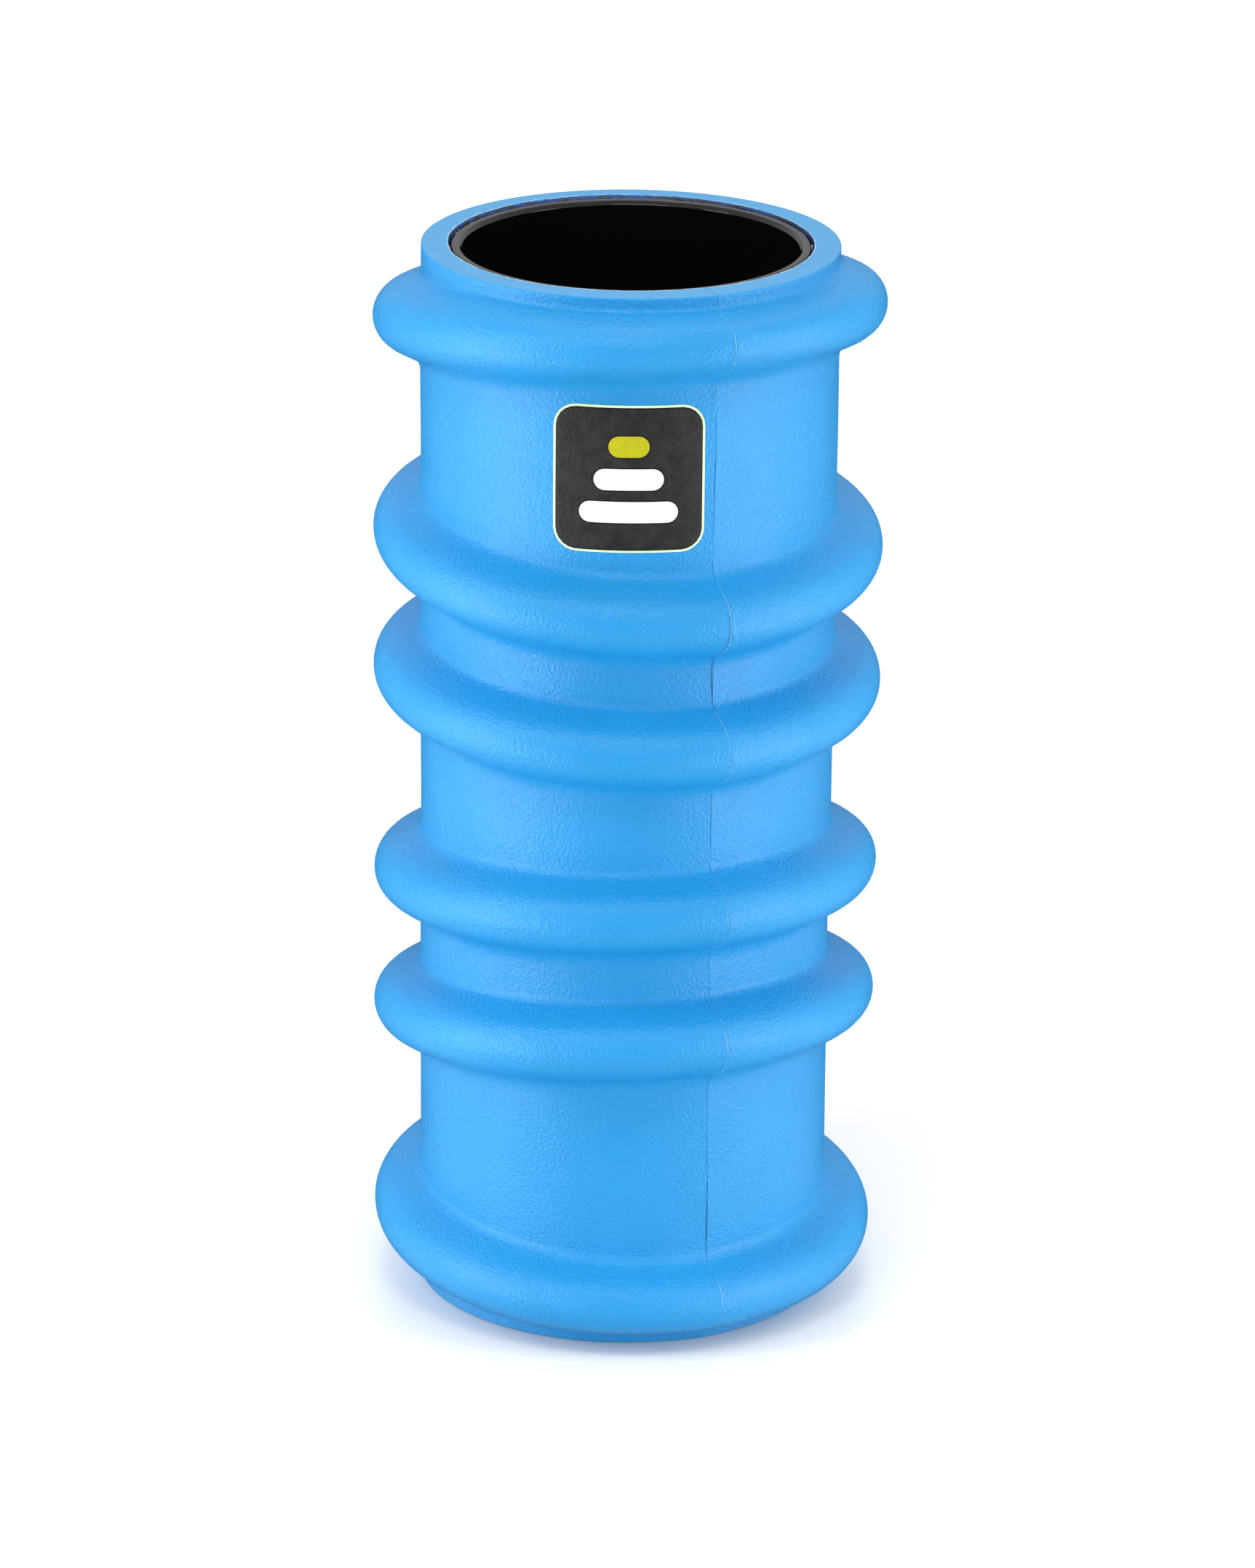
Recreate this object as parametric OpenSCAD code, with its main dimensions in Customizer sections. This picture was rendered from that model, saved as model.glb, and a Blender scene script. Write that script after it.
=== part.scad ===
// Hollow-core textured foam roller, standing on one end.
// A moulded foam sleeve with six raised ribs is wrapped round a rigid pipe and
// glued along a butt joint. A four-layer badge sits between the top two ribs.
// Origin: centre of the lower end face. +Z runs along the roller's axis.
// Azimuths are counted from the front (-Y) towards +X.

/* [Overall] */
// Length of the roller
overall_length = 330; // [300:1:360]
// Diameter of the foam between the ribs
body_d = 125.4; // [122:0.2:130]
// Diameter over the crests of the ribs
rib_d = 154; // [148:0.5:158]

/* [Core pipe] */
// Outer diameter of the pipe
core_d = 107.8; // [104:0.2:110]
// Wall thickness of the pipe
core_wall = 3.5; // [2.5:0.1:5]
// How far each end of the pipe sits inside the foam's end face
core_recess = 0.4; // [0.2:0.1:3]
// Chamfer round the mouth of the bore
mouth_chamfer = 1; // [0.4:0.1:1.5]
// Chamfer round the outer edge of the pipe's ends
edge_chamfer = 0.5; // [0.2:0.1:1]
// Thickness of the contact cement between the pipe and the foam
cement_t = 0.2; // [0.1:0.05:0.4]

/* [Ribs] */
// Height of the first and last rib above the nearer end face
end_rib_z = 20.25; // [18:0.25:24]
// Spacing of the first two ribs, and of the last two
wide_pitch = 70.75; // [64:0.25:74]
// Spacing of the second and third ribs, and of the fourth and fifth
close_pitch = 42.9; // [38:0.1:46]
// How far the moulded pattern sits above the middle of the roller
pattern_shift = 0.5; // [0:0.1:1]
// Radius of the rounded crest
crest_r = 9.5; // [7:0.1:10]
// Slope of the flanks, measured from the roller's axis
flank_slope = 64; // [55:1:75]
// Radius of the fillet where the upper flank meets the body
upper_root_r = 2.4; // [1.5:0.1:6]
// Radius of the fillet where the lower flank meets the body
lower_root_r = 6.5; // [3:0.5:8]
// Height of the plain neck at each end, where the ribs are cut flat
end_neck = 5; // [3:0.5:7]

/* [Rib waves] */
// Rise and fall of the end ribs round the roller
end_wave = 7.2; // [0:0.1:9]
// Rise and fall of the second and fifth ribs
second_wave = 7.3; // [0:0.1:9]
// Rise and fall of the third and fourth ribs
inner_wave = 5.2; // [0:0.1:8]
// Rise that all the ribs share towards the wave's peak
common_rise = 0.3; // [0:0.1:1.5]
// Azimuth of the waves' peaks
wave_azimuth = 20.6; // [0:0.2:60]

/* [Butt joint] */
// Azimuth of the joint that closes the sleeve
joint_azimuth = 23.5; // [22:0.5:60]
// Thickness of the glue line in the joint
joint_t = 0.3; // [0.2:0.05:0.6]
// How far the glue stays below the foam's surface
joint_inset = 0.4; // [0.2:0.1:1]

/* [Badge] */
// Width and height of the badge, measured round the foam
badge_w = 45; // [30:0.5:50]
// Height of the badge's centre above the lower end face
badge_z = 275.25; // [270:0.25:280]
// Radius of the badge's corners
badge_corner_r = 7; // [2:0.5:12]
// Width of the border that shows round the dark field
border_w = 0.7; // [0.4:0.1:2]
// Thickness of the border layer, of the field and of the marks
badge_layer_t = 0.2; // [0.15:0.05:0.5]
// Height of each bar of the badge's mark
bar_h = 6.5; // [4:0.5:8]
// Distance between the centres of two bars
bar_pitch = 10; // [9:0.5:12]
// Length of the shortest bar
bar_min_w = 12; // [10:0.5:14]
// Extra length of each bar below the shortest one
bar_step_w = 8.5; // [4:0.5:9]

/* [Hidden] */

$fn = 96;
eps = 0.01;

body_r = body_d / 2;
rib_r = rib_d / 2;
core_r = core_d / 2;
bore_r = core_r - core_wall;
foam_bore_r = core_r + cement_t;
core_top = overall_length - core_recess;
middle_z = overall_length / 2;

// Ribs from the lowest to the highest: height and signed wave at the crest
rib_z = [end_rib_z,
         end_rib_z + wide_pitch,
         end_rib_z + wide_pitch + close_pitch,
         overall_length - end_rib_z - wide_pitch - close_pitch,
         overall_length - end_rib_z - wide_pitch,
         overall_length - end_rib_z];
rib_wave = [-end_wave, second_wave, inner_wave, -inner_wave, -second_wave, end_wave];

// The fillet stops short of the body, so that a rib enters the body at a
// clear angle, and the ring goes on down inside the foam.
root_end_slope = 14;
root_depth = 3;
foot_margin = 1;
arc_step = 5;

// Radius at which a tilted ring matches its wave
wave_r = (body_r + rib_r) / 2;

function rise_angle(i) = atan((rib_wave[i] + common_rise) / wave_r);

// Half of a rib's section as [radius, height] points, from crest to root
function half_rib(fillet_r, inset) =
    let (crest = crest_r - inset,
         root = fillet_r + inset,
         crest_x = rib_r - crest_r,
         root_x = body_r + fillet_r,
         crest_end = crest * [cos(flank_slope), sin(flank_slope)] + [crest_x, 0],
         root_start_x = root_x - root * cos(flank_slope),
         drop = crest_end[0] - root_start_x,
         root_start_y = crest_end[1] + drop / tan(flank_slope),
         root_y = root_start_y + root * sin(flank_slope))
    concat(
        [for (a = [0:arc_step:flank_slope]) crest * [cos(a), sin(a)] + [crest_x, 0]],
        [for (a = [flank_slope:-arc_step:root_end_slope])
            [root_x - root * cos(a), root_y - root * sin(a)]]
    );

function mirror_points(points) =
    [for (k = [len(points) - 1:-1:1]) [points[k][0], -points[k][1]]];

function rib_section(inset) =
    let (upper = half_rib(upper_root_r, inset),
         lower = half_rib(lower_root_r, inset),
         foot_r = body_r - root_depth,
         upper_foot_z = upper[len(upper) - 1][1] + foot_margin,
         lower_foot_z = lower[len(lower) - 1][1] + foot_margin)
    concat(mirror_points(lower), upper, [[foot_r, upper_foot_z], [foot_r, -lower_foot_z]]);

function round_box(w, h, r) =
    [for (corner = [0:3])
        let (sx = (corner == 0 || corner == 3) ? 1 : -1,
             sy = corner < 2 ? 1 : -1)
        for (a = [0:arc_step * 3:90])
            [sx * (w / 2 - r), sy * (h / 2 - r)] + r * [cos(a + 90 * corner), sin(a + 90 * corner)]];

module rib(i, inset = 0)
{
    translate([0, 0, rib_z[i] + pattern_shift])
        rotate(a = rise_angle(i), v = [-cos(wave_azimuth), -sin(wave_azimuth), 0])
            rotate_extrude()
                polygon(rib_section(inset));
}

// The foam's outer form, drawn in by an inset on every side
module foam_form(inset = 0)
{
    neck = end_neck + inset;
    translate([0, 0, inset])
        cylinder(h = overall_length - 2 * inset, r = body_r - inset);
    intersection() {
        union() {
            for (i = [0:5])
                rib(i, inset);
        }
        translate([0, 0, neck])
            cylinder(h = overall_length - 2 * neck, r = rib_r + 5);
    }
}

// A thin radial slab at the butt joint
module joint_slab(thickness, extra = 0)
{
    rotate([0, 0, joint_azimuth - 90])
        translate([foam_bore_r - extra, -thickness / 2, -extra])
            cube([rib_r, thickness, overall_length + 2 * extra]);
}

// A plate that hugs the foam between two radii, with a flat outline as its edge
module curved_plate(inner_r, outer_r, outline)
{
    intersection() {
        difference() {
            translate([0, 0, badge_z - badge_w])
                cylinder(h = 2 * badge_w, r = outer_r);
            translate([0, 0, badge_z - badge_w - 1])
                cylinder(h = 2 * badge_w + 2, r = inner_r);
        }
        translate([0, 0, badge_z])
            rotate([90, 0, 0])
                linear_extrude(height = rib_r)
                    polygon(outline);
    }
}

// Straight-on width of a piece that measures w round the foam
function chord(w) = 2 * body_r * sin(w / 2 / body_r * 180 / PI);

module bar(step)
{
    w = chord(bar_min_w + step * bar_step_w);
    z = (1 - step) * bar_pitch;
    inner = body_r + 2 * badge_layer_t;
    translate([0, 0, z])
        curved_plate(inner, inner + badge_layer_t, round_box(w, bar_h, bar_h / 2 - eps));
}

module foam_sleeve()
{
    color("dodgerblue")
        difference() {
            foam_form();
            translate([0, 0, -1])
                cylinder(h = overall_length + 2, r = foam_bore_r);
            joint_slab(joint_t, 1);
        }
}

module core_tube()
{
    color("black")
        rotate_extrude()
            polygon([[bore_r, core_recess + mouth_chamfer],
                     [bore_r + mouth_chamfer, core_recess],
                     [core_r - edge_chamfer, core_recess],
                     [core_r, core_recess + edge_chamfer],
                     [core_r, core_top - edge_chamfer],
                     [core_r - edge_chamfer, core_top],
                     [bore_r + mouth_chamfer, core_top],
                     [bore_r, core_top - mouth_chamfer]]);
}

module core_cement()
{
    margin = core_recess + edge_chamfer;
    color("wheat")
        translate([0, 0, margin])
            difference() {
                cylinder(h = overall_length - 2 * margin, r = foam_bore_r);
                translate([0, 0, -1])
                    cylinder(h = overall_length, r = core_r);
            }
}

module joint_glue()
{
    color("lightskyblue")
        difference() {
            intersection() {
                foam_form(joint_inset);
                joint_slab(joint_t);
            }
            translate([0, 0, -1])
                cylinder(h = overall_length + 2, r = foam_bore_r);
        }
}

module badge_border()
{
    w = chord(badge_w);
    color("yellowgreen")
        curved_plate(body_r, body_r + badge_layer_t, round_box(w, badge_w, badge_corner_r));
}

module badge_field()
{
    w = chord(badge_w - 2 * border_w);
    h = badge_w - 2 * border_w;
    color("dimgray")
        curved_plate(body_r + badge_layer_t, body_r + 2 * badge_layer_t,
                     round_box(w, h, badge_corner_r - border_w));
}

module badge_white_bars()
{
    color("white") {
        bar(1);
        bar(2);
    }
}

module badge_lime_bar()
{
    color("olive")
        bar(0);
}

foam_sleeve();
core_tube();
core_cement();
joint_glue();
badge_border();
badge_field();
badge_white_bars();
badge_lime_bar();
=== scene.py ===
"""Looks of the hollow-core foam roller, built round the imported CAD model.

Lengths are in millimetres until a mesh is made; the lights and the camera are
in metres. Azimuths run from the front (-Y) towards +X, in radians, and heights
are above the lower end face.
"""
import math

import bpy
import numpy as np
from mathutils import Matrix, Vector


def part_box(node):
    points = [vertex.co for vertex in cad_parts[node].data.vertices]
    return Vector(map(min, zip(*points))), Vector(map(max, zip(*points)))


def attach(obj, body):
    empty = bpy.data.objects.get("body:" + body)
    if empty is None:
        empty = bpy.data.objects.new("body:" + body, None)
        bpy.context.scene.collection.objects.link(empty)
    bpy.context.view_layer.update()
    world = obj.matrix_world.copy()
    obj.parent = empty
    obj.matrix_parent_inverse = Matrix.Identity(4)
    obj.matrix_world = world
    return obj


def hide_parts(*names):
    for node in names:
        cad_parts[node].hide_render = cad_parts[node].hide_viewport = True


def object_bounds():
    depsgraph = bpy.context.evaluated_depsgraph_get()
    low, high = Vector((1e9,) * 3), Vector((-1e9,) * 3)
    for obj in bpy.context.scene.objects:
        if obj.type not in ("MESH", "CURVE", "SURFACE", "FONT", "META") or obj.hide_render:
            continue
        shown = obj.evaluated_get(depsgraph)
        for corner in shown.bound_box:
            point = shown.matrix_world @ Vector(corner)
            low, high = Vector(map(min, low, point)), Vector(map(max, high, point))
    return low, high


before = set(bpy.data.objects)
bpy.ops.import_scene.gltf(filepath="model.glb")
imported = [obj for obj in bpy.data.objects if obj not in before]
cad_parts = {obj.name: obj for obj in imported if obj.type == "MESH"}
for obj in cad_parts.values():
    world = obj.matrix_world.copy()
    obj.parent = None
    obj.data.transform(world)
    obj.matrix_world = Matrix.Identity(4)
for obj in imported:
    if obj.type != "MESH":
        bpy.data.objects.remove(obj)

CAD_LOW, CAD_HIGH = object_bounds()
MM = 0.001
TAU = 2 * math.pi
rng = np.random.default_rng(7)

# ---------------------------------------------------------------- sizes

_, sleeve_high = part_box("foam_sleeve")
_, core_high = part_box("core_tube")
cement_low, cement_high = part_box("core_cement")
border_low, border_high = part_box("badge_border")

LENGTH = sleeve_high.z / MM
RIB_R = round(CAD_HIGH.x / MM, 1)
BODY_R = 62.7
CORE_R = round(core_high.x / MM, 1)
CORE_TOP = core_high.z / MM
CORE_WALL = 3.5
BORE_R = CORE_R - CORE_WALL
FOAM_BORE_R = CORE_R + 0.2

# Ribs from the lowest to the highest: mean height of the crest, and its rise towards WAVE_AZ
RIB_Z = np.array([20.75, 91.5, 134.4, 196.6, 239.5, 310.25])
RIB_WAVE = np.array([-6.5, 7.6, 5.5, -4.9, -7.0, 7.5])
WAVE_AZ = math.radians(20.6)

# A rib's outline: crest, flanks (their angles to the roller's axis) and root fillets
CREST_R = 9.6
UPPER_FLANK = math.radians(66)
LOWER_FLANK = math.radians(62)
UPPER_ROOT_R = 2.4
LOWER_ROOT_R = 6.5

# Near an end the mould stops a rib at a shelf: plain neck, slope of the shelf, softness of its edge
END_NECK = 4.6
SHELF_RISE = 6.0
SHELF_SOFT = 0.35

# What the butt joint does to the surface round it, each with its reach along the surface: a low
# ridge, one side standing proud of the other, rolled edges, a gap, and a wandering course
JOINT_AZ = math.radians(23.5)
RIDGE, RIDGE_REACH = 0.75, 8
STEP, STEP_DRIFT, STEP_REACH = 0.09, 0.06, 5
ROLLED, ROLLED_REACH = 0.05, 0.22
GAP_REACH = 1.2
WANDER, WANDER_REACH = 0.28, 9

# Unevenness of the moulded surface: long swells and small dents
SWELL, DENT = 0.07, 0.025
RIM_ROUND = 0.45

BADGE_W = 45.0
BADGE_Z = (border_low.z + border_high.z) / 2 / MM
BADGE_CORNER = 7.0
BORDER_W = 0.7
LAYER_T = 0.2
SEAT = 0.03
# Black frames round the panel and the bars, painted shade for the grooves at those edges: width, thickness,
# and depth sunk into the layer below
GROOVE_SHADE_W, GROOVE_SHADE_T, GROOVE_SHADE_SUNK = 0.4, 0.1, 0.05
PRINT_T = 0.16
PRINT_EDGE = 0.1
BAR_H = 6.5
BAR_PITCH = 10.0
BAR_WIDTHS = (12.0, 20.5, 29.0)


# ---------------------------------------------------------------- helpers

def field(count, around, along):
    """A smooth random field over (azimuth, height) with an rms of 1, closed round the roller."""
    turns = rng.integers(0, around + 1, count)
    rate = rng.uniform(-along, along, count) * TAU
    phase = rng.uniform(0, TAU, count)

    def value(az, z):
        total = 0
        for m, k, p in zip(turns, rate, phase):
            total = total + np.cos(m * az + k * z + p)
        return total / math.sqrt(count / 2)

    return value


def polar(r, az, z):
    """Points in metres from radius, azimuth and height."""
    r, az, z = np.broadcast_arrays(r, az, z)
    return np.stack([r * np.sin(az), -r * np.cos(az), z], axis=-1) * MM


def strip_faces(rows, cols, close_rows=False, close_cols=False):
    """Quads of a grid of rows by cols points, as indices."""
    i = np.arange(rows if close_rows else rows - 1)[:, None]
    j = np.arange(cols if close_cols else cols - 1)[None, :]
    i2, j2 = (i + 1) % rows, (j + 1) % cols
    quads = np.stack([i * cols + j, i * cols + j2, i2 * cols + j2, i2 * cols + j], axis=-1)
    return quads.reshape(-1, 4)


def make_object(name, points, faces, materials, face_slots=None, smooth_angle=40):
    """An object from points in metres, with smooth shading up to an angle in degrees."""
    mesh = bpy.data.meshes.new(name)
    mesh.from_pydata([tuple(p) for p in points], [], [tuple(int(v) for v in f) for f in faces])
    for material in materials:
        mesh.materials.append(material)
    if face_slots is not None:
        mesh.polygons.foreach_set("material_index", np.asarray(face_slots, np.int32))
    mesh.polygons.foreach_set("use_smooth", np.ones(len(mesh.polygons), bool))
    mesh.set_sharp_from_angle(angle=math.radians(smooth_angle))
    mesh.update()
    obj = bpy.data.objects.new(name, mesh)
    bpy.context.scene.collection.objects.link(obj)
    return obj


def join(objects, name):
    """One object from several, keeping their materials."""
    bpy.ops.object.select_all(action="DESELECT")
    for o in objects:
        o.select_set(True)
    bpy.context.view_layer.objects.active = objects[0]
    bpy.ops.object.join()
    objects[0].name = name
    return objects[0]


# ---------------------------------------------------------------- materials

def new_material(name):
    """A material with a Principled shader; returns it with its nodes' helper."""
    material = bpy.data.materials.new(name)
    material.use_nodes = True
    tree = material.node_tree
    shader = tree.nodes["Principled BSDF"]
    coords = tree.nodes.new("ShaderNodeTexCoord")
    return material, tree, shader, coords.outputs["Object"]


def add_noise(tree, vector, scale, detail=2.0, roughness=0.5):
    node = tree.nodes.new("ShaderNodeTexNoise")
    node.inputs["Scale"].default_value = scale
    node.inputs["Detail"].default_value = detail
    node.inputs["Roughness"].default_value = roughness
    tree.links.new(vector, node.inputs["Vector"])
    return node.outputs["Fac"]


def add_cells(tree, vector, scale, feature="F1", randomness=1.0):
    node = tree.nodes.new("ShaderNodeTexVoronoi")
    node.feature = feature
    node.inputs["Scale"].default_value = scale
    node.inputs["Randomness"].default_value = randomness
    tree.links.new(vector, node.inputs["Vector"])
    return node.outputs["Distance"]


def add_range(tree, value, low, high, to_low, to_high):
    """Maps value from low..high to to_low..to_high, clamped."""
    node = tree.nodes.new("ShaderNodeMapRange")
    node.inputs["From Min"].default_value = low
    node.inputs["From Max"].default_value = high
    node.inputs["To Min"].default_value = to_low
    node.inputs["To Max"].default_value = to_high
    tree.links.new(value, node.inputs["Value"])
    return node.outputs["Result"]


def add_math(tree, operation, a, b):
    node = tree.nodes.new("ShaderNodeMath")
    node.operation = operation
    for socket, value in zip(node.inputs, (a, b)):
        if isinstance(value, (int, float)):
            socket.default_value = value
        else:
            tree.links.new(value, socket)
    return node.outputs["Value"]


def add_mix(tree, factor, colour_a, colour_b):
    node = tree.nodes.new("ShaderNodeMix")
    node.data_type = "RGBA"
    tree.links.new(factor, node.inputs["Factor"])
    for socket, colour in ((node.inputs["A"], colour_a), (node.inputs["B"], colour_b)):
        if isinstance(colour, tuple):
            socket.default_value = (*colour, 1)
        else:
            tree.links.new(colour, socket)
    return node.outputs["Result"]


def add_bump(tree, shader, layers):
    """Stacks bump layers, each (height socket, depth in mm, strength), onto the shader's normal."""
    normal = None
    for height, depth, strength in layers:
        node = tree.nodes.new("ShaderNodeBump")
        node.inputs["Distance"].default_value = depth * MM
        node.inputs["Strength"].default_value = strength
        tree.links.new(height, node.inputs["Height"])
        if normal is not None:
            tree.links.new(normal, node.inputs["Normal"])
        normal = node.outputs["Normal"]
    tree.links.new(normal, shader.inputs["Normal"])


def grain_height(tree, vector, size):
    """Leather-like pebbling with cells about size millimetres across."""
    warp = tree.nodes.new("ShaderNodeTexNoise")
    warp.inputs["Scale"].default_value = 0.6 / (size * MM)
    tree.links.new(vector, warp.inputs["Vector"])
    push = tree.nodes.new("ShaderNodeVectorMath")
    push.operation = "MULTIPLY_ADD"
    push.inputs[1].default_value = (0.9 * size * MM,) * 3
    tree.links.new(warp.outputs["Color"], push.inputs[0])
    tree.links.new(vector, push.inputs[2])
    warped = push.outputs["Vector"]
    cells = add_cells(tree, warped, 1 / (size * MM), "SMOOTH_F1")
    pebbles = add_range(tree, cells, 0.1, 0.75, 1.0, 0.0)
    fine = add_noise(tree, vector, 3 / (size * MM), 3.0, 0.6)
    return add_math(tree, "ADD", pebbles, add_math(tree, "MULTIPLY", fine, 0.45))


def ring_noise(tree, vector, spacing):
    """Noise that varies with the distance from the roller's axis, in rings about spacing mm apart."""
    flat = tree.nodes.new("ShaderNodeVectorMath")
    flat.operation = "MULTIPLY"
    flat.inputs[1].default_value = (1, 1, 0)
    tree.links.new(vector, flat.inputs[0])
    radius = tree.nodes.new("ShaderNodeVectorMath")
    radius.operation = "LENGTH"
    tree.links.new(flat.outputs["Vector"], radius.inputs[0])
    spread = tree.nodes.new("ShaderNodeCombineXYZ")
    rings = add_math(tree, "MULTIPLY", radius.outputs["Value"], 1 / (spacing * MM))
    tree.links.new(rings, spread.inputs["X"])
    drift = tree.nodes.new("ShaderNodeVectorMath")
    drift.operation = "MULTIPLY_ADD"
    drift.inputs[1].default_value = (12, 12, 12)
    tree.links.new(vector, drift.inputs[0])
    tree.links.new(spread.outputs["Vector"], drift.inputs[2])
    return add_noise(tree, drift.outputs["Vector"], 1.0, 2.0, 0.5)


def foam_skin_material():
    """Moulded EVA skin: saturated blue with a fine leather grain and a soft satin."""
    material, tree, shader, vector = new_material("blue_foam_skin")
    mottle = add_noise(tree, vector, 34, 3.0, 0.55)
    colour = add_mix(tree, add_range(tree, mottle, 0.3, 0.7, 0, 1),
                     (0.0115, 0.246, 0.562), (0.016, 0.263, 0.596))
    pores = add_cells(tree, vector, 210)
    pore_mask = add_range(tree, pores, 0.035, 0.055, 0.75, 0.0)
    patchy = add_range(tree, add_noise(tree, vector, 60), 0.5, 0.56, 0, 1)
    colour = add_mix(tree, add_math(tree, "MULTIPLY", pore_mask, patchy),
                     colour, (0.004, 0.10, 0.34))
    tree.links.new(colour, shader.inputs["Base Color"])
    grain = grain_height(tree, vector, 0.85)
    rough = add_range(tree, add_noise(tree, vector, 90, 2.0), 0.3, 0.7, 0.28, 0.34)
    tree.links.new(rough, shader.inputs["Roughness"])
    shader.inputs["Specular IOR Level"].default_value = 0.34
    swell = add_noise(tree, vector, 150, 2.0, 0.5)
    add_bump(tree, shader, [(swell, 0.12, 0.35), (grain, 0.18, 1.0)])
    return material


def foam_cut_material():
    """Sawn foam: matte, with open cells and faint saw marks; paler than the skin, partly its own open-cell
    colour and partly painted sheen for the bright backdrop's grazing reflection.
    """
    material, tree, shader, vector = new_material("blue_foam_cut")
    cells = add_cells(tree, vector, 1500)
    speckle = add_range(tree, cells, 0.1, 0.6, 0, 1)
    cloud = add_range(tree, add_noise(tree, vector, 120, 3.0, 0.6), 0.35, 0.65, 0, 1)
    # Paler blues: partly the cut cells' own colour, partly painted sheen
    colour = add_mix(tree, cloud, (0.034, 0.246, 0.502), (0.054, 0.271, 0.532))
    colour = add_mix(tree, add_math(tree, "MULTIPLY", speckle, 0.35), colour, (0.080, 0.306, 0.556))
    tree.links.new(colour, shader.inputs["Base Color"])
    tree.links.new(add_range(tree, cloud, 0, 1, 0.52, 0.64), shader.inputs["Roughness"])
    marks = add_noise(tree, vector, 420, 2.0, 0.5)
    add_bump(tree, shader, [(marks, 0.15, 0.3), (cells, 0.1, 0.4)])
    return material


def foam_bore_material():
    """The foam's inner wall: painted shade, near-black to dark navy in blotches."""
    material, tree, shader, vector = new_material("blue_foam_bore")
    # Blotches of painted shade, from near-black to dark navy
    shade_blotch = add_range(tree, add_noise(tree, vector, 260, 3.0, 0.6), 0.4, 0.62, 0, 1)
    colour = add_mix(tree, shade_blotch, (0.001, 0.004, 0.02), (0.004, 0.05, 0.22))
    tree.links.new(colour, shader.inputs["Base Color"])
    tree.links.new(add_range(tree, shade_blotch, 0, 1, 0.45, 0.7), shader.inputs["Roughness"])
    add_bump(tree, shader, [(shade_blotch, 0.12, 0.5)])
    return material


def core_material():
    """Black extruded pipe: glossy, with faint draw lines along it and light haze."""
    material, tree, shader, vector = new_material("black_pipe_gloss")
    haze = add_noise(tree, vector, 55, 3.0, 0.6)
    colour = add_mix(tree, haze, (0.0015, 0.0015, 0.002), (0.003, 0.003, 0.0035))
    tree.links.new(colour, shader.inputs["Base Color"])
    stretch = tree.nodes.new("ShaderNodeMapping")
    stretch.inputs["Scale"].default_value = (1, 1, 0.03)
    tree.links.new(vector, stretch.inputs["Vector"])
    lines = add_noise(tree, stretch.outputs["Vector"], 900, 2.0, 0.5)
    tree.links.new(add_range(tree, haze, 0.3, 0.7, 0.05, 0.09), shader.inputs["Roughness"])
    shader.inputs["Specular IOR Level"].default_value = 0.42
    add_bump(tree, shader, [(lines, 0.02, 0.25)])
    return material


def sawn_material():
    """The pipe's sawn end: greyer and rougher than its skin, with fine circular saw marks."""
    material, tree, shader, vector = new_material("black_pipe_sawn")
    scuff = add_range(tree, add_noise(tree, vector, 420, 3.0, 0.6), 0.35, 0.65, 0, 1)
    rings = add_range(tree, ring_noise(tree, vector, 0.35), 0.35, 0.65, 0, 1)
    worn = add_math(tree, "MULTIPLY", add_math(tree, "ADD", scuff, rings), 0.5)
    tree.links.new(add_mix(tree, worn, (0.006, 0.005, 0.005), (0.060, 0.054, 0.046)),
                   shader.inputs["Base Color"])
    tree.links.new(add_range(tree, worn, 0, 1, 0.22, 0.42), shader.inputs["Roughness"])
    shader.inputs["Specular IOR Level"].default_value = 0.30
    add_bump(tree, shader, [(rings, 0.03, 0.5), (scuff, 0.02, 0.3)])
    return material


def cement_material():
    """Dried contact cement: cream, uneven, slightly shiny in places."""
    material, tree, shader, vector = new_material("cream_cement")
    lump = add_noise(tree, vector, 700, 3.0, 0.6)
    colour = add_mix(tree, add_range(tree, lump, 0.35, 0.65, 0, 1),
                     (0.30, 0.50, 0.62), (0.55, 0.70, 0.76))
    tree.links.new(colour, shader.inputs["Base Color"])
    tree.links.new(add_range(tree, lump, 0.3, 0.7, 0.3, 0.65), shader.inputs["Roughness"])
    add_bump(tree, shader, [(lump, 0.15, 0.6)])
    return material


def glue_material():
    """Clear glue squeezed into the butt joint, tinted by the foam behind it, and paler than the foam as a
    painted highlight where its proud bead catches the light on the ribs.
    """
    material, tree, shader, vector = new_material("joint_glue_clear")
    lump = add_noise(tree, vector, 500, 3.0, 0.6)
    # Pale blues: the foam's tint through the glue plus painted highlight
    colour = add_mix(tree, add_range(tree, lump, 0.4, 0.6, 0, 1),
                     (0.05, 0.30, 0.58), (0.16, 0.46, 0.72))
    tree.links.new(colour, shader.inputs["Base Color"])
    tree.links.new(add_range(tree, lump, 0.3, 0.7, 0.22, 0.4), shader.inputs["Roughness"])
    add_bump(tree, shader, [(lump, 0.08, 0.5)])
    return material


def film_material(name, colour_a, colour_b, roughness, gloss, grain, depth, strength):
    """A printed or moulded film; its grain's size and its bump's depth are in mm."""
    material, tree, shader, vector = new_material(name)
    mottle = add_range(tree, add_noise(tree, vector, 240, 3.0, 0.6), 0.35, 0.65, 0, 1)
    tree.links.new(add_mix(tree, mottle, colour_a, colour_b), shader.inputs["Base Color"])
    tree.links.new(add_range(tree, mottle, 0, 1, *roughness), shader.inputs["Roughness"])
    shader.inputs["Specular IOR Level"].default_value = gloss
    add_bump(tree, shader, [(grain_height(tree, vector, grain), depth, strength)])
    return material


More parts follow.
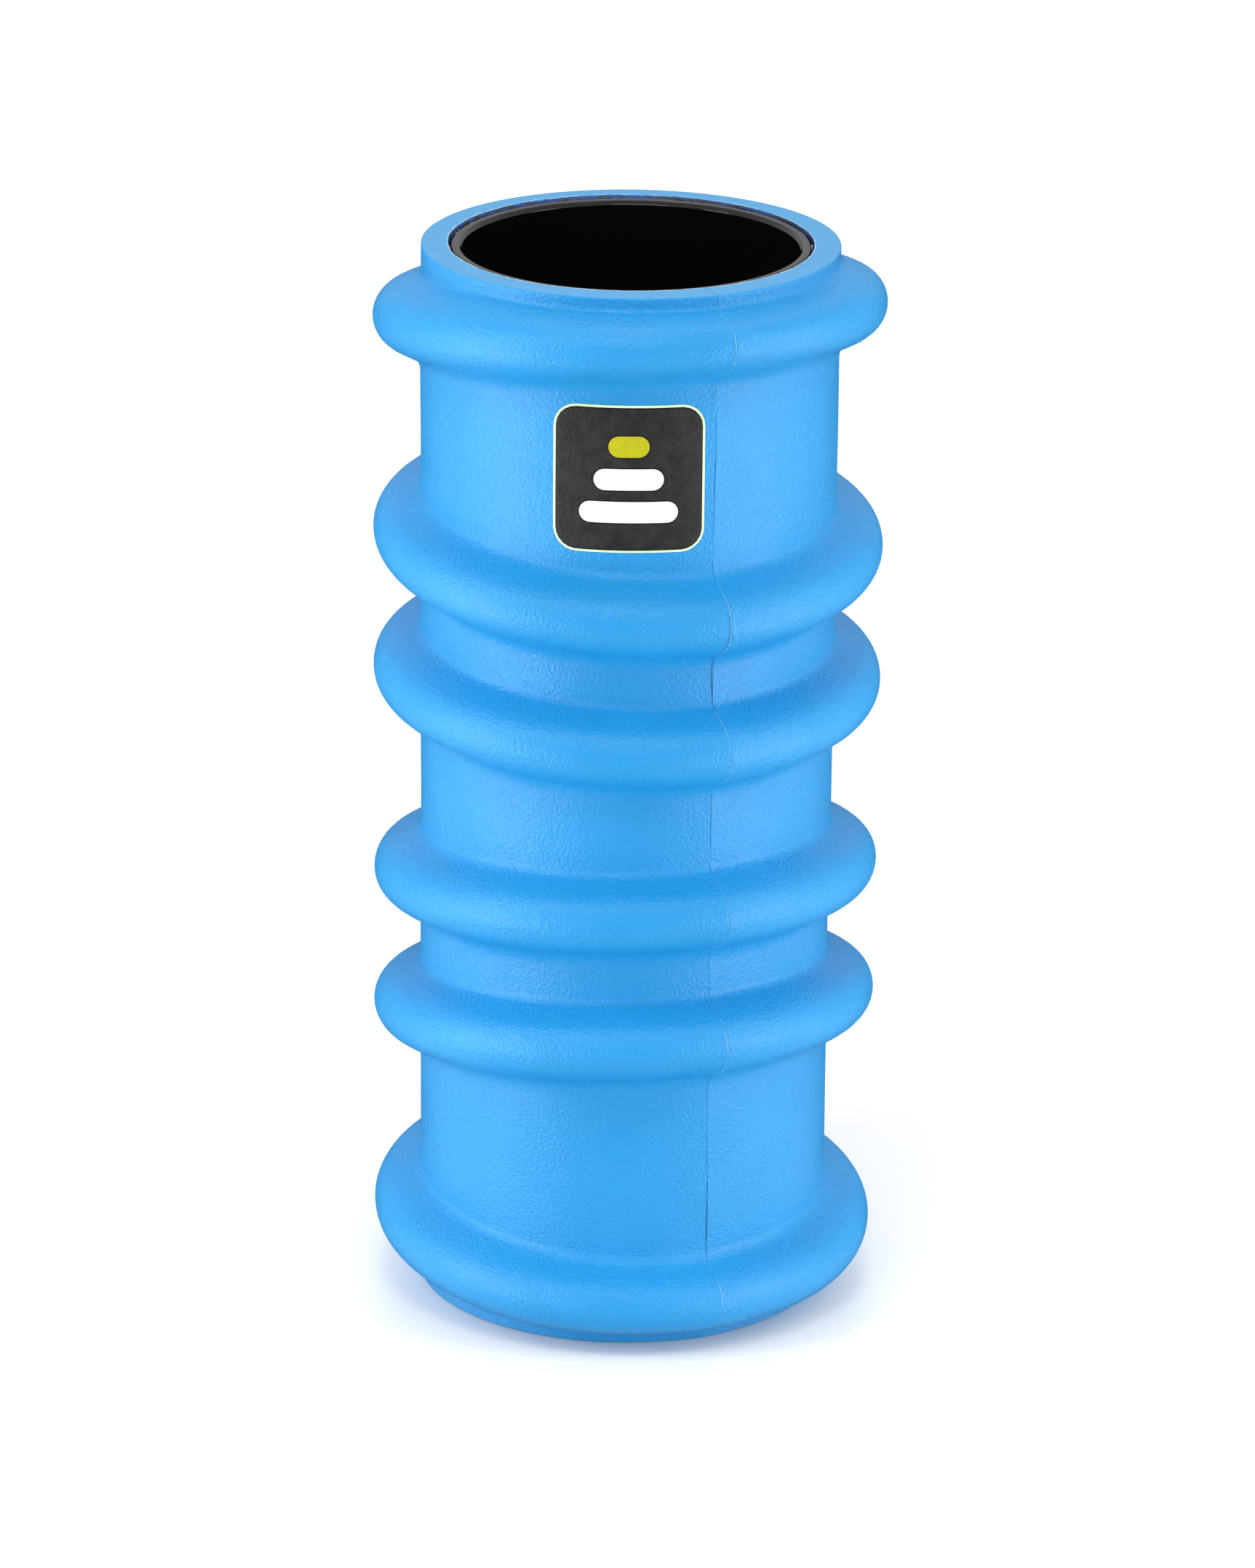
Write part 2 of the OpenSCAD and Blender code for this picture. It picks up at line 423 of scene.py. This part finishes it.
def floor_material():
    """Plain pale paper sweep."""
    material, tree, shader, vector = new_material("pale_floor")
    fibre = add_noise(tree, vector, 180, 3.0, 0.6)
    colour = add_mix(tree, fibre, (0.855, 0.842, 0.826), (0.875, 0.862, 0.846))
    tree.links.new(colour, shader.inputs["Base Color"])
    tree.links.new(add_range(tree, fibre, 0, 1, 0.75, 0.85), shader.inputs["Roughness"])
    shader.inputs["Specular IOR Level"].default_value = 0.15
    return material


# ---------------------------------------------------------------- foam sleeve

def rib_centre(i, az):
    """Height of a rib's crest at an azimuth."""
    return RIB_Z[i] + RIB_WAVE[i] * np.cos(az - WAVE_AZ)


def rib_height(offset):
    """How far a rib stands above the body, at an offset upwards from its crest."""
    d = np.abs(offset)
    above = offset > 0
    fillet = np.where(above, UPPER_ROOT_R, LOWER_ROOT_R)
    slope = np.where(above, UPPER_FLANK, LOWER_FLANK)
    crest_x = RIB_R - CREST_R
    root_x = BODY_R + fillet
    crest_end_x = crest_x + CREST_R * np.cos(slope)
    crest_end_z = CREST_R * np.sin(slope)
    root_start_x = root_x - fillet * np.cos(slope)
    root_start_z = crest_end_z + (crest_end_x - root_start_x) / np.tan(slope)
    root_z = root_start_z + fillet * np.sin(slope)
    crest = crest_x + np.sqrt(np.maximum(CREST_R ** 2 - d ** 2, 0))
    flank = crest_end_x - (d - crest_end_z) * np.tan(slope)
    root = root_x - np.sqrt(np.maximum(fillet ** 2 - (root_z - d) ** 2, 0))
    r = np.select([d < crest_end_z, d < root_start_z, d < root_z], [crest, flank, root], BODY_R)
    return r - BODY_R


def under_shelf(rib, z):
    """The ribs' height as the mould limits it near an end, where it cuts them to a nearly flat shelf."""
    from_neck = np.minimum(z, LENGTH - z) - END_NECK
    limit = SHELF_RISE * SHELF_SOFT * np.logaddexp(0, from_neck / SHELF_SOFT)
    return rib * limit / ((rib ** 3 + limit ** 3) ** (1 / 3) + 1e-6)


# Random fields: number of waves, most turns round the roller, most waves per mm along it
swell_field = field(14, 5, 1 / 60)
dent_field = field(24, 14, 1 / 22)
step_field = field(8, 0, 1 / 45)
gap_field = field(12, 0, 1 / 9)
wander_field = field(8, 0, 1 / 60)


def joint_side(az):
    """Distance round the foam from the butt joint, in mm, negative to its left."""
    turn = (az - JOINT_AZ + math.pi) % TAU - math.pi
    return turn * BODY_R


def outer_radius(az, z):
    """Radius of the foam's moulded surface."""
    ribs = sum(rib_height(z - rib_centre(i, az)) for i in range(len(RIB_Z)))
    r = BODY_R + under_shelf(ribs, z) + SWELL * swell_field(az, z) + DENT * dent_field(az, z)
    side = joint_side(az)
    away = np.abs(side)
    ridge = RIDGE * np.exp(-away / RIDGE_REACH)
    step = (STEP + STEP_DRIFT * step_field(0, z)) * np.sign(side) * np.exp(-away / STEP_REACH)
    rolled = ROLLED * np.exp(-(away / ROLLED_REACH) ** 2)
    return r + ridge + step - rolled


def joint_half_gap(az, z):
    """Half the width of the butt joint, in mm: a hairline on the body, wider on the ribs' crests."""
    hairline = 0.032 + 0.02 * gap_field(0, z)
    opened = 0.09 + 0.03 * gap_field(2, z)
    return np.clip(hairline + rib_share(az, z) * opened, 0.01, 0.2)


def rib_share(az, z):
    """0 on the body, 1 on a crest."""
    return np.clip((outer_radius(az, z) - BODY_R - 1) / 8, 0, 1)


def column_azimuths():
    """Azimuths from one face of the butt joint round to the other, closest together near it."""
    near = [0, 0.1, 0.2, 0.32, 0.48, 0.7, 1.0, 1.4, 1.9, 2.5, 3.2, 4.0]
    half_turn = math.pi * BODY_R
    far = np.linspace(5, half_turn, 200)
    one_side = np.concatenate([near, far])
    distance = np.concatenate([one_side, 2 * half_turn - one_side[-2::-1]])
    return JOINT_AZ + distance / BODY_R


def row_knots():
    """Heights that the rows keep to: rims, necks, shelves and rib crests, low to high."""
    low = [RIM_ROUND, END_NECK - 0.6, END_NECK + 2.4]
    return low, [LENGTH - z for z in low[::-1]]


def wall_rows(az):
    """Rows of the moulded surface from the lower rim to the upper one, following the ribs' waves."""
    low, high = row_knots()
    knots = np.array([*low, *RIB_Z, *high])
    rows_between = [5, 12, 24, 60, 42, 46, 42, 60, 24, 12, 5]
    levels = np.concatenate([np.linspace(a, b, n, endpoint=False)
                             for a, b, n in zip(knots[:-1], knots[1:], rows_between)] + [knots[-1:]])
    ribs = np.arange(len(RIB_Z))
    z = np.empty((len(levels), len(az)))
    for j, a in enumerate(az):
        z[:, j] = np.interp(levels, knots, [*low, *rib_centre(ribs, a), *high])
    return outer_radius(az[None, :], z), z


ragged_field = field(60, 130, 0)
saw_field = field(30, 60, 1 / 6)

# Round the mouth of the foam: azimuth in degrees, gap beyond the bore's radius, and the width
# and depth of its torn bevel
MOUTH = np.array([
    (-180, 0.90, 2.10, 0.75),
    (-145, 1.00, 1.70, 0.80),
    (-115, 0.70, 0.80, 0.45),
    (-90, 0.40, 0.35, 0.25),
    (-65, 0.12, 0.30, 0.15),
    (-40, 0.02, 0.30, 0.12),
    (-15, -0.12, 0.25, 0.10),
    (15, -0.10, 0.20, 0.10),
    (45, 0.45, 0.20, 0.10),
    (80, 0.55, 0.20, 0.10),
    (115, 0.60, 0.45, 0.25),
    (145, 0.80, 1.20, 0.50),
    (180, 0.90, 2.10, 0.75),
])


def mouth_shape(az):
    """How the foam's cut edge runs round the bore: its radius, and its bevel's width and depth."""
    degrees = (np.degrees(az) + 180) % 360 - 180
    gap, wide, deep = (np.interp(degrees, MOUTH[:, 0], MOUTH[:, k]) for k in (1, 2, 3))
    ragged = ragged_field(az, 0)
    gap = gap + 0.035 * ragged + 0.12 * np.maximum(np.abs(ragged) - 1.3, 0)
    wide = wide * (1 + 0.22 * np.roll(ragged, 9)) + 0.05
    deep = deep * (1 + 0.18 * np.roll(ragged, 21))
    return FOAM_BORE_R + gap, wide, deep


# Rows of an end that round its rim, and those from the lower part of the torn bevel into the bore
RIM_ROWS = 4
TORN_ROWS = 7


def end_rows(az, rim_r):
    """Rows of an end from its rim inwards, as lists of radii and depths below the end face."""
    radii, depths = [], []
    for a in np.radians([22, 45, 68, 90]):
        radii.append(rim_r - RIM_ROUND * (1 - math.cos(a)))
        depths.append(RIM_ROUND * (1 - math.sin(a)) + 0 * az)
    mouth, lip_w, lip_d = mouth_shape(az)
    start, end = rim_r - RIM_ROUND, mouth + lip_w
    for t in (0.12, 0.3, 0.5, 0.7, 0.88, 1.0):
        r = start + (end - start) * t
        radii.append(r)
        depths.append(0.02 + 0.02 * np.abs(saw_field(az, r)) * (1 if t < 1 else 0.5))
    for share, drop in ((0.82, 0.05), (0.6, 0.2), (0.35, 0.5), (0.15, 0.8), (0.0, 1.1)):
        radii.append(mouth + lip_w * share)
        depths.append(0.02 + lip_d * drop)
    radii.append(mouth - 0.03)
    depths.append(lip_d * 1.2 + 0.9 + 0 * az)
    radii.append(mouth * 0.4 + FOAM_BORE_R * 0.6)
    depths.append(2.6 + 0 * az)
    radii.append(FOAM_BORE_R + 0 * az)
    depths.append(4.5 + 0 * az)
    return radii, depths


def build_sleeve(skin, cut, bore):
    """The foam: one sheet wrapped round the pipe, open along the butt joint."""
    az = column_azimuths()
    wall_r, wall_z = wall_rows(az)
    top_r, top_d = end_rows(az, wall_r[-1])
    low_r, low_d = end_rows(az, wall_r[0])
    inner_z = np.linspace(LENGTH - 12, 12, 14)
    radii = [*wall_r, *top_r, *(FOAM_BORE_R + 0 * az for _ in inner_z), *low_r[::-1]]
    heights = [*wall_z, *(LENGTH - d for d in top_d), *(z + 0 * az for z in inner_z), *low_d[::-1]]
    radii, heights = np.array(radii), np.array(heights)
    side = joint_side(az)
    side[0], side[-1] = 0, 0
    near = np.exp(-np.abs(side) / WANDER_REACH)
    halfway = np.arange(len(az)) < len(az) / 2
    opening = joint_half_gap(JOINT_AZ, heights) * np.where(halfway, 1, -1)
    opening = opening * np.exp(-np.abs(side) / GAP_REACH)
    wander = WANDER * wander_field(0, heights)
    shift = (opening + wander * near) / BODY_R
    points = polar(radii, az[None, :] + shift, heights)
    rows, cols = radii.shape
    faces = strip_faces(rows, cols, close_rows=True).tolist()
    skin_slot, cut_slot, bore_slot = 0, 1, 2
    n_wall, n_end = len(wall_z), len(top_d)
    cut_rows = n_end - TORN_ROWS
    band = np.full(rows, skin_slot)
    band[n_wall + RIM_ROWS // 2:n_wall + cut_rows] = cut_slot
    # The lower part of the torn bevel and the inner wall take the bore's painted shade
    band[n_wall + cut_rows:rows - cut_rows] = bore_slot
    band[rows - cut_rows - 1:rows - RIM_ROWS] = cut_slot
    slots = np.repeat(band, cols - 1).tolist()
    first = [r * cols for r in range(rows)]
    last = [r * cols + cols - 1 for r in range(rows)]
    faces += [first, last[::-1]]
    slots += [bore_slot, bore_slot]
    return make_object("foam_sleeve_skin", points.reshape(-1, 3), faces, [skin, cut, bore], slots, 50)


def build_joint_glue(material):
    """The glue line: a thin slab in the butt joint with a bead along its outer edge."""
    z = np.linspace(0.5, LENGTH - 0.25, 560)
    az = JOINT_AZ + WANDER * wander_field(0, z) / BODY_R
    half = 0.96 * joint_half_gap(JOINT_AZ, z)
    sunk = np.clip(0.06 + 0.05 * gap_field(1.3, z), 0.005, 0.25)
    foot = outer_radius(JOINT_AZ + GAP_REACH / BODY_R, z) - sunk
    proud = 0.04 + rib_share(JOINT_AZ, z) * np.clip(0.16 + 0.08 * gap_field(0.7, z), 0.02, 0.3)
    inner = FOAM_BORE_R + 0.4
    across = [(-1.0, inner, 0), (-1.0, foot, 0), (-0.5, foot, 0.8), (0.0, foot, 1.0),
              (0.5, foot, 0.8), (1.0, foot, 0), (1.0, inner, 0)]
    columns = [polar(r + proud * lift, az + share * half / BODY_R, z) for share, r, lift in across]
    points = np.stack(columns, axis=1)
    rows, cols = points.shape[:2]
    faces = strip_faces(rows, cols, close_cols=True).tolist()
    faces += [list(range(cols))[::-1], [(rows - 1) * cols + c for c in range(cols)]]
    return make_object("joint_glue_line", points.reshape(-1, 3), faces, [material], None, 60)


# ---------------------------------------------------------------- core pipe and cement

def lathe(name, section, materials, bands=None, segments=384, wobble=None, smooth_angle=35):
    """Turns a closed section of (radius, height) points about the roller's axis; bands gives the
    material of the face that starts at each point."""
    az = np.linspace(0, TAU, segments, endpoint=False)
    r = np.array([p[0] for p in section])[:, None] + 0 * az
    z = np.array([p[1] for p in section])[:, None] + 0 * az
    if wobble:
        r, z = wobble(r, az, z)
    faces = strip_faces(len(section), segments, close_rows=True, close_cols=True)
    slots = None if bands is None else np.repeat(bands, segments)
    return make_object(name, polar(r, az, z).reshape(-1, 3), faces, materials, slots, smooth_angle)


def arc(cx, cz, radius, start, end, steps):
    """Points of an arc, angles in degrees from +radius towards +Z."""
    angles = np.radians(np.linspace(start, end, steps))
    return [(cx + radius * math.cos(a), cz + radius * math.sin(a)) for a in angles]


def build_core(gloss, sawn):
    """The pipe: a sawn and slightly dished end with a rounded rim, a chamfered mouth, a smooth bore."""
    rim, shoulder, foot = 1.0, 0.6, 0.5
    dish = 0.13
    face_in = BORE_R + 1.35
    chamfer_top_r = face_in - shoulder * math.sin(math.radians(45))
    chamfer_run = chamfer_top_r - (BORE_R + foot * (1 - math.cos(math.radians(45))))
    shoulder_z = CORE_TOP - dish - shoulder
    foot_z = shoulder_z + (shoulder - foot) * math.sin(math.radians(45)) - chamfer_run
    upper = [(CORE_R, CORE_TOP - 2)]
    upper += arc(CORE_R - rim, CORE_TOP - rim, rim, 0, 84, 9)
    sawn_from = len(upper) - 2
    upper += arc(face_in, shoulder_z, shoulder, 86, 135, 7)
    sawn_to = sawn_from + 2
    upper += arc(BORE_R + foot, foot_z, foot, 135, 180, 6)
    wall = [(BORE_R, z) for z in np.linspace(CORE_TOP - 4, LENGTH / 2, 8)]
    half = upper + wall
    section = half + [(r, LENGTH - z) for r, z in half[-2::-1]]
    bands = np.zeros(len(section), int)
    bands[sawn_from:sawn_to] = 1
    bands[len(section) - 1 - sawn_to:len(section) - 1 - sawn_from] = 1
    return lathe("core_tube_pipe", section, [gloss, sawn], bands)


fleck_field = field(70, 150, 0)
bead_field = field(40, 90, 0)


def build_cement(material):
    """The cement film, with flecks standing up from it, and the bead it left along the foam's mouth."""
    def wobble(r, az, z):
        fleck = np.maximum(fleck_field(az, 0) - 0.4, 0)
        from_middle = np.abs(z - LENGTH / 2) / (LENGTH / 2)
        drop = np.where(from_middle > 0.99, 2.2 - 1.5 * np.minimum(fleck, 1.3), 0)
        bulge = np.where((from_middle > 0.98) & (r > CORE_R + 0.1), 0.10 + 0.12 * fleck, 0)
        return r + bulge, z - np.sign(z - LENGTH / 2) * drop

    low, high = cement_low.z / MM, cement_high.z / MM
    outer, inner = CORE_R + 0.19, CORE_R + 0.01
    heights = [low, low + 3.0, low + 5, LENGTH / 2, high - 5, high - 3.0, high]
    section = [(outer, z) for z in heights] + [(inner, z) for z in heights[::-1]]
    film = lathe("core_cement_film", section, [material], None, 720, wobble, 60)

    az = np.linspace(0, TAU, 1200, endpoint=False)
    mouth, wide, deep = mouth_shape(az)
    thick = np.clip(0.11 + 0.03 * bead_field(az, 0), 0.04, 0.18)
    beads = [film]
    for top in (True, False):
        rows = []
        for angle in np.radians(np.arange(0, 360, 45)):
            r = mouth + wide * 0.8 + thick * math.cos(angle)
            depth = 0.03 + deep * 0.05 - thick * 0.6 * math.sin(angle)
            rows.append(polar(r, az, LENGTH - depth if top else depth))
        rows = rows if top else rows[::-1]
        faces = strip_faces(8, len(az), close_rows=True, close_cols=True)
        beads.append(make_object("cement_bead", np.stack(rows).reshape(-1, 3), faces, [material]))
    return join(beads, "core_cement_film")


# ---------------------------------------------------------------- badge

def box_outline(w, h, corner, per_corner=12, per_side=10):
    """Points of a rounded box outline, counter-clockwise from its right side."""
    points = []
    for k, (sx, sy) in enumerate(((1, 1), (-1, 1), (-1, -1), (1, -1))):
        cx, cy = sx * (w / 2 - corner), sy * (h / 2 - corner)
        for a in np.radians(np.linspace(90 * k, 90 * (k + 1), per_corner)):
            points.append((cx + corner * math.cos(a), cy + corner * math.sin(a)))
    closed = np.array(points + points[:1])
    step = np.linalg.norm(np.diff(closed, axis=0), axis=1)
    run = np.concatenate([[0], np.cumsum(step)])
    wanted = np.linspace(0, run[-1], 4 * (per_corner + per_side), endpoint=False)
    return np.stack([np.interp(wanted, run, closed[:, 0]), np.interp(wanted, run, closed[:, 1])], axis=1)


def plate(name, outline_of, centre_z, lift, thickness, edge, materials):
    """A closed plate that follows the foam's surface. outline_of(inset) gives its outline drawn in by
    inset, lift is its underside's height above the foam and edge the rounding of its upper rim."""
    rings = []
    for a in np.radians([0, 30, 60, 90]):
        rings.append((outline_of(edge * (1 - math.cos(a))), lift + thickness - edge * (1 - math.sin(a))))
    shrink = np.linspace(1, 0.06, 16)[1:]
    inner = outline_of(edge)
    for f in shrink:
        rings.append((inner * f, lift + thickness))
    bottom = [(outline_of(0) * f, lift) for f in [*shrink[::-1], 1]]
    rings = bottom + rings
    points = []
    for outline, height in rings:
        az, z = outline[:, 0] / BODY_R, centre_z + outline[:, 1]
        points.append(polar(outer_radius(az, z) + height, az, z))
    points = np.stack(points)
    rows, cols = points.shape[:2]
    faces = strip_faces(rows, cols, close_cols=True).tolist()
    faces += [list(range(cols))[::-1], [(rows - 1) * cols + c for c in range(cols)]]
    return make_object(name, points.reshape(-1, 3), faces, materials, None, 50)


def boxed(w, h, corner):
    """outline_of for a rounded box."""
    def outline_of(inset):
        return box_outline(w - 2 * inset, h - 2 * inset, max(corner - inset, 0.05))
    return outline_of


def build_badge(lime_film, dark_film, painted_groove_shade, white_film, lime_print):
    """The badge's layers: border, dark panel with black frames painted as the shade of the grooves at its
    edge and round the bars, white bars and lime bar.
    """
    border = plate("badge_border_film", boxed(BADGE_W, BADGE_W, BADGE_CORNER), BADGE_Z,
                   SEAT, LAYER_T, PRINT_EDGE, [lime_film])
    field_w = BADGE_W - 2 * BORDER_W
    field_base = SEAT + LAYER_T
    # A black frame inside the lime border: painted shade of the groove there
    rim = plate("field_rim", boxed(field_w, field_w, BADGE_CORNER - BORDER_W), BADGE_Z,
                field_base - GROOVE_SHADE_SUNK, GROOVE_SHADE_T, 0.04, [painted_groove_shade])
    inner_w = field_w - 2 * GROOVE_SHADE_W
    panel = plate("field_panel", boxed(inner_w, inner_w, BADGE_CORNER - BORDER_W - GROOVE_SHADE_W), BADGE_Z,
                  field_base, LAYER_T, PRINT_EDGE, [dark_film])
    field_top = field_base + LAYER_T
    groove_shades, bars = [], []
    for k, width in enumerate(BAR_WIDTHS):
        z = BADGE_Z + (1 - k) * BAR_PITCH
        # A black frame round each bar: painted shade of the groove at the bar's edge
        groove_shades.append(plate(f"groove_shade_{k}", boxed(width + 2 * GROOVE_SHADE_W, BAR_H + 2 * GROOVE_SHADE_W, BAR_H / 2 + GROOVE_SHADE_W - 0.02),
                          z, field_top - GROOVE_SHADE_SUNK, 0.09, 0.03, [painted_groove_shade]))
        material = lime_print if k == 0 else white_film
        bars.append(plate(f"bar_{k}", boxed(width, BAR_H, BAR_H / 2 - 0.02),
                          z, field_top, PRINT_T, PRINT_EDGE, [material]))
    panel = join([panel, rim, *groove_shades], "badge_field_film")
    white = join(bars[1:], "badge_white_bars_film")
    bars[0].name = "badge_lime_bar_film"
    return border, panel, white, bars[0]


# ---------------------------------------------------------------- the object

sleeve = build_sleeve(foam_skin_material(), foam_cut_material(), foam_bore_material())
glue = build_joint_glue(glue_material())
core = build_core(core_material(), sawn_material())
cement = build_cement(cement_material())
border, panel, white_bars, lime_bar = build_badge(
    film_material("lime_border_film", (0.56, 0.76, 0.40), (0.66, 0.84, 0.50),
                  roughness=(0.35, 0.5), gloss=0.5, grain=0.9, depth=0.05, strength=0.4),
    film_material("dark_grained_film", (0.010, 0.010, 0.011), (0.020, 0.020, 0.022),
                  roughness=(0.46, 0.60), gloss=0.22, grain=0.8, depth=0.14, strength=1.0),
    # Painted shade: black for the grooves round the panel and the bars
    film_material("painted_groove_shade", (0.003, 0.003, 0.003), (0.006, 0.006, 0.005),
                  roughness=(0.40, 0.5), gloss=0.2, grain=0.6, depth=0.03, strength=0.3),
    film_material("white_print", (0.68, 0.68, 0.67), (0.74, 0.74, 0.73),
                  roughness=(0.34, 0.42), gloss=0.4, grain=1.4, depth=0.03, strength=0.25),
    film_material("lime_print", (0.36, 0.345, 0.0), (0.43, 0.41, 0.0),
                  roughness=(0.34, 0.44), gloss=0.4, grain=1.4, depth=0.03, strength=0.25),
)

for piece, node, slot_name in (
    (sleeve, "foam_sleeve", "blue_foam"),
    (glue, "joint_glue", "joint_glue"),
    (core, "core_tube", "black_pipe"),
    (cement, "core_cement", "cement"),
    (border, "badge_border", "lime_film"),
    (panel, "badge_field", "dark_film"),
    (white_bars, "badge_white_bars", "white_film"),
    (lime_bar, "badge_lime_bar", "lime_print"),
):
    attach(piece, "root")
    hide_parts(node)

# ---------------------------------------------------------------- floor, light and camera

FLOOR_SIZE = 40
FLOOR_Z = -0.0002

bpy.ops.mesh.primitive_plane_add(size=FLOOR_SIZE, location=(0, 0, FLOOR_Z))
floor = bpy.context.active_object
floor.name = "floor"
floor.data.materials.append(floor_material())
floor.visible_glossy = False


def add_softbox(name, azimuth, distance, low, high, width, radiance, aim_z):
    """A rectangular light at an azimuth in degrees, between two heights, facing the roller."""
    height = high - low
    data = bpy.data.lights.new(name, "AREA")
    data.shape = "RECTANGLE"
    data.size, data.size_y = width, height
    data.energy = radiance * math.pi * width * height
    light = bpy.data.objects.new(name, data)
    a = math.radians(azimuth)
    light.location = (distance * math.sin(a), -distance * math.cos(a), (low + high) / 2)
    toward = Vector((0, 0, aim_z)) - light.location
    light.rotation_euler = toward.to_track_quat("-Z", "Y").to_euler()
    bpy.context.scene.collection.objects.link(light)
    return light


# Azimuth in degrees, distance from the axis, heights of the lower and upper edges, width, radiance,
# and the height on the roller's axis that the box faces
SOFTBOXES = {
    "strip_left": (-65, 0.42, 0.004, 0.60, 0.16, 4.95, 0.30),
    "strip_right": (66, 0.42, 0.004, 0.60, 0.16, 3.85, 0.30),
    "low_left": (-46, 0.44, 0.004, 0.12, 0.16, 5.4, 0.06),
    "low_right": (46, 0.44, 0.004, 0.12, 0.16, 6.0, 0.06),
    "front_top": (-8, 0.42, 0.62, 1.00, 0.36, 5.4, 0.80),
    "top_back": (180, 0.35, 1.10, 1.45, 0.50, 3.0, 0.20),
    "backdrop": (180, 3.0, 0.35, 2.3, 1.2, 5.8, 0.90),
}
softboxes = {name: add_softbox(name, *numbers) for name, numbers in SOFTBOXES.items()}
softboxes["backdrop"].visible_glossy = False

# The room's glow: below the horizon in front and at the sides, and above it. Behind the roller
# both fade to a share of that.
GLOW_LOW_FRONT, GLOW_LOW_SIDE, GLOW_HIGH = 0.50, 1.35, 0.82
BACK_LOW, BACK_HIGH = 0.08, 0.85

world = bpy.data.worlds.new("studio")
world.use_nodes = True
sky = world.node_tree
direction = sky.nodes.new("ShaderNodeTexCoord").outputs["Generated"]
split = sky.nodes.new("ShaderNodeSeparateXYZ")
sky.links.new(direction, split.inputs["Vector"])
sideways = add_math(sky, "MULTIPLY", split.outputs["X"], split.outputs["X"])
low_glow = add_math(sky, "MULTIPLY", add_range(sky, sideways, 0.15, 0.6, GLOW_LOW_FRONT, GLOW_LOW_SIDE),
                    add_range(sky, split.outputs["Y"], 0.35, 0.85, 1, BACK_LOW))
high_glow = add_math(sky, "MULTIPLY", GLOW_HIGH,
                     add_range(sky, split.outputs["Y"], 0.45, 0.9, 1, BACK_HIGH))
height_share = add_range(sky, split.outputs["Z"], -0.15, 0.25, 0, 1)
high_part = add_math(sky, "MULTIPLY", height_share, high_glow)
low_part = add_math(sky, "MULTIPLY", add_math(sky, "SUBTRACT", 1, height_share), low_glow)
sky.links.new(add_math(sky, "ADD", high_part, low_part), sky.nodes["Background"].inputs["Strength"])
sky.nodes["Background"].inputs["Color"].default_value = (1, 1, 1, 1)
scene = bpy.context.scene
scene.world = world
scene.view_settings.view_transform = "Standard"

# The picture's view: the camera's place, the point it faces, its roll, and its lens in mm
CAMERA_AT = Vector((0, -2.0813, 0.8900))
CAMERA_AIM = Vector((0.00056, 0, 0.1588))
CAMERA_ROLL = math.radians(0.581)
CAMERA_LENS = 165.45

forward = (CAMERA_AIM - CAMERA_AT).normalized()
level = forward.cross(Vector((0, 0, 1))).normalized()
upright = level.cross(forward)
right = level * math.cos(CAMERA_ROLL) + upright * math.sin(CAMERA_ROLL)
up = right.cross(forward)
camera_data = bpy.data.cameras.new("camera")
camera_data.lens = CAMERA_LENS
camera_data.sensor_width = 36
camera_data.clip_end = 60
camera = bpy.data.objects.new("camera", camera_data)
turn = Matrix((right, up, -forward)).transposed().to_4x4()
camera.matrix_world = Matrix.Translation(CAMERA_AT) @ turn
scene.collection.objects.link(camera)
scene.camera = camera
